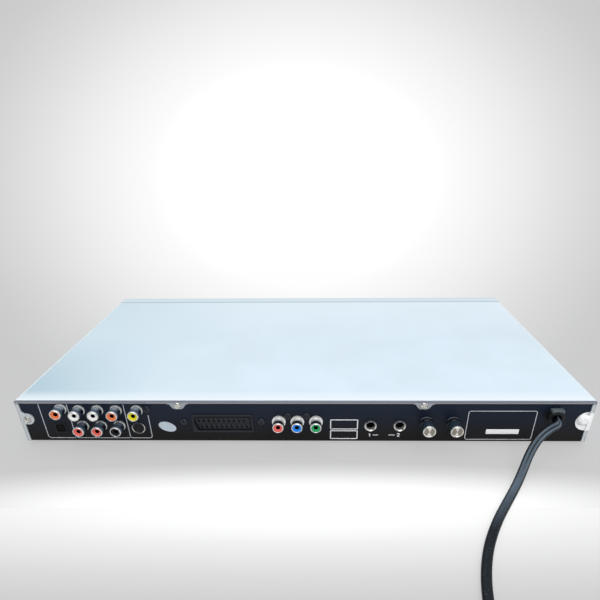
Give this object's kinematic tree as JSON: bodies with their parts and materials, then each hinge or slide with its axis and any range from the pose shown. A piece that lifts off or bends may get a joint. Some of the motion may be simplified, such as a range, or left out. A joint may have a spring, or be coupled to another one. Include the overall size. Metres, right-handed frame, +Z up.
{
  "type": "dvd player",
  "caption": "Slim silver disc player with a front tray and a black rear panel of phono, SCART, S-video and microphone sockets, two level knobs and a captive mains cord.",
  "frame": {"origin": "on the floor under the middle of the player, its knobs and buttons included and its mains cord left out", "axes": "+X along the player's width towards the phono sockets' side, +Y towards the rear panel, so the disc tray opens towards -Y, +Z up"},
  "size_m": [0.43, 0.4591, 0.041],
  "materials": {
    "cover_paint": "fine satin silver paint",
    "panel_black": "satin black paint",
    "plated_steel": "zinc plated",
    "bezel_silver": "silver paint, satin",
    "window_smoke": "smoked, glossy",
    "foot_rubber": "matt",
    "screw_nickel": "nickel plated",
    "screw_black": "black oxide",
    "nickel": "nickel plated",
    "insert_white": "smooth",
    "insert_orange": "smooth",
    "insert_red": "smooth",
    "insert_yellow": "smooth",
    "insert_blue": "smooth",
    "insert_green": "smooth",
    "moulding_black": "moulded",
    "knob_black": "fine matt",
    "knob_cap": "turned, bright",
    "cord_pvc": "smooth, slightly glossy",
    "plug_black": "moulded",
    "board_green": "solder mask",
    "board_brown": "phenolic",
    "chip_black": "moulded",
    "transformer": "tape and ferrite",
    "capacitor": "sleeved can",
    "loader_black": "moulded",
    "tray_grey": "moulded",
    "gear_white": "acetal",
    "belt_rubber": "matt",
    "motor_can": "plated",
    "clamper_white": "moulded"
  },
  "bodies": {
    "chassis": {"chassis_pan": "plated_steel", "rear_panel": "panel_black", "top_cover": "cover_paint", "front_bezel": "bezel_silver", "display_window": "window_smoke", "rubber_feet": "foot_rubber", "cover_screws": "screw_nickel", "jack_screws": "screw_black", "phono_shells": "nickel", "component_shells": "nickel", "white_inserts": "insert_white", "orange_inserts": "insert_orange", "red_inserts": "insert_red", "yellow_insert": "insert_yellow", "blue_insert": "insert_blue", "green_insert": "insert_green", "jack_blocks": "moulding_black", "svideo_ring": "nickel", "scart_socket": "moulding_black", "mic_sockets": "moulding_black", "mic_ferrules": "nickel", "control_pots": "plated_steel", "cord_bushing": "moulding_black", "mains_cord": "cord_pvc", "mains_cord_coil": "cord_pvc", "mains_cord_tail": "cord_pvc", "plug_body": "plug_black", "plug_pins": "nickel", "main_board": "board_green", "board_chips": "chip_black", "power_board": "board_brown", "power_transformer": "transformer", "power_capacitors": "capacitor", "mic_board": "board_green", "front_board": "board_green", "loader_frame": "loader_black", "clamp_bridge": "plated_steel", "loading_motor": "motor_can", "drive_belt": "belt_rubber"},
    "mic_volume": {"mic_volume_knob": "knob_black", "mic_volume_cap": "knob_cap"},
    "echo": {"echo_knob": "knob_black", "echo_cap": "knob_cap"},
    "power_button": {"power_button": "bezel_silver"},
    "open_close_button": {"open_close_button": "bezel_silver"},
    "play_pause_button": {"play_pause_button": "bezel_silver"},
    "stop_button": {"stop_button": "bezel_silver"},
    "tray": {"disc_tray": "tray_grey", "tray_fascia": "bezel_silver"},
    "tray_gear": {"tray_gear": "gear_white"},
    "belt_pulley": {"belt_pulley": "gear_white"},
    "motor_pulley": {"motor_pulley": "gear_white"},
    "traverse": {"traverse_deck": "plated_steel", "guide_rods": "nickel", "traverse_motors": "motor_can"},
    "cam_slider": {"cam_slider": "gear_white"},
    "turntable": {"turntable": "moulding_black"},
    "clamper": {"clamper": "clamper_white"},
    "pickup": {"pickup_sled": "moulding_black"},
    "feed_screw": {"feed_screw": "nickel"}
  },
  "joints": [
    {"name": "mic_volume_turn", "type": "hinge", "parent": "chassis", "child": "mic_volume", "pos_m": [-0.0925, 0.1021, 0.0219], "axis": [0, -1, 0], "range_deg": [-150, 150]},
    {"name": "echo_turn", "type": "hinge", "parent": "chassis", "child": "echo", "pos_m": [-0.1125, 0.1021, 0.0219], "axis": [0, -1, 0], "range_deg": [-150, 150]},
    {"name": "power_press", "type": "slide", "parent": "chassis", "child": "power_button", "axis": [0, 1, 0], "range_m": [0, 0.0008], "stiffness_N_per_m": 600, "springref_m": -0.001},
    {"name": "open_close_press", "type": "slide", "parent": "chassis", "child": "open_close_button", "axis": [0, 1, 0], "range_m": [0, 0.0008], "stiffness_N_per_m": 600, "springref_m": -0.001},
    {"name": "play_pause_press", "type": "slide", "parent": "chassis", "child": "play_pause_button", "axis": [0, 1, 0], "range_m": [0, 0.0008], "stiffness_N_per_m": 600, "springref_m": -0.001},
    {"name": "stop_press", "type": "slide", "parent": "chassis", "child": "stop_button", "axis": [0, 1, 0], "range_m": [0, 0.0008], "stiffness_N_per_m": 600, "springref_m": -0.001},
    {"name": "tray_slide", "type": "slide", "parent": "chassis", "child": "tray", "axis": [0, -1, 0], "range_m": [0, 0.125]},
    {"name": "tray_gear_turn", "type": "hinge", "parent": "chassis", "child": "tray_gear", "pos_m": [-0.039, -0.0769, 0.015], "axis": [0, 0, 1], "range_deg": [0, 598]},
    {"name": "belt_pulley_turn", "type": "hinge", "parent": "chassis", "child": "belt_pulley", "pos_m": [-0.015, -0.0769, 0.015], "axis": [0, 0, 1], "range_deg": [-1792, 0]},
    {"name": "motor_pulley_turn", "type": "hinge", "parent": "chassis", "child": "motor_pulley", "pos_m": [0.026, -0.0769, 0.0155], "axis": [0, 0, 1], "range_deg": [-6973, 0]},
    {"name": "traverse_tilt", "type": "hinge", "parent": "chassis", "child": "traverse", "pos_m": [0, 0.0561, 0.0155], "axis": [1, 0, 0], "range_deg": [0, 2]},
    {"name": "cam_slide", "type": "slide", "parent": "chassis", "child": "cam_slider", "axis": [1, 0, 0], "range_m": [0, 0.0162]},
    {"name": "turntable_spin", "type": "hinge", "parent": "traverse", "child": "turntable", "pos_m": [0, -0.0409, 0.025], "axis": [0, 0, 1], "continuous": true},
    {"name": "sled_slide", "type": "slide", "parent": "traverse", "child": "pickup", "axis": [0, 1, 0], "range_m": [0, 0.035]},
    {"name": "feed_screw_turn", "type": "hinge", "parent": "traverse", "child": "feed_screw", "pos_m": [0.0296, 0, 0.018], "axis": [0, 1, 0], "range_deg": [0, 4201]},
    {"name": "clamper_spin", "type": "hinge", "parent": "chassis", "child": "clamper", "pos_m": [0, -0.0409, 0.034], "axis": [0, 0, 1], "continuous": true}
  ],
  "couplings": [
    {"joint": "tray_gear_turn", "follows": "tray_slide", "rad_per_m": 83.333},
    {"joint": "belt_pulley_turn", "follows": "tray_slide", "rad_per_m": -250},
    {"joint": "motor_pulley_turn", "follows": "tray_slide", "rad_per_m": -973.47},
    {"joint": "cam_slide", "follows": "traverse_tilt", "m_per_rad": 0.45837},
    {"joint": "feed_screw_turn", "follows": "sled_slide", "rad_per_m": 2094.4}
  ]
}
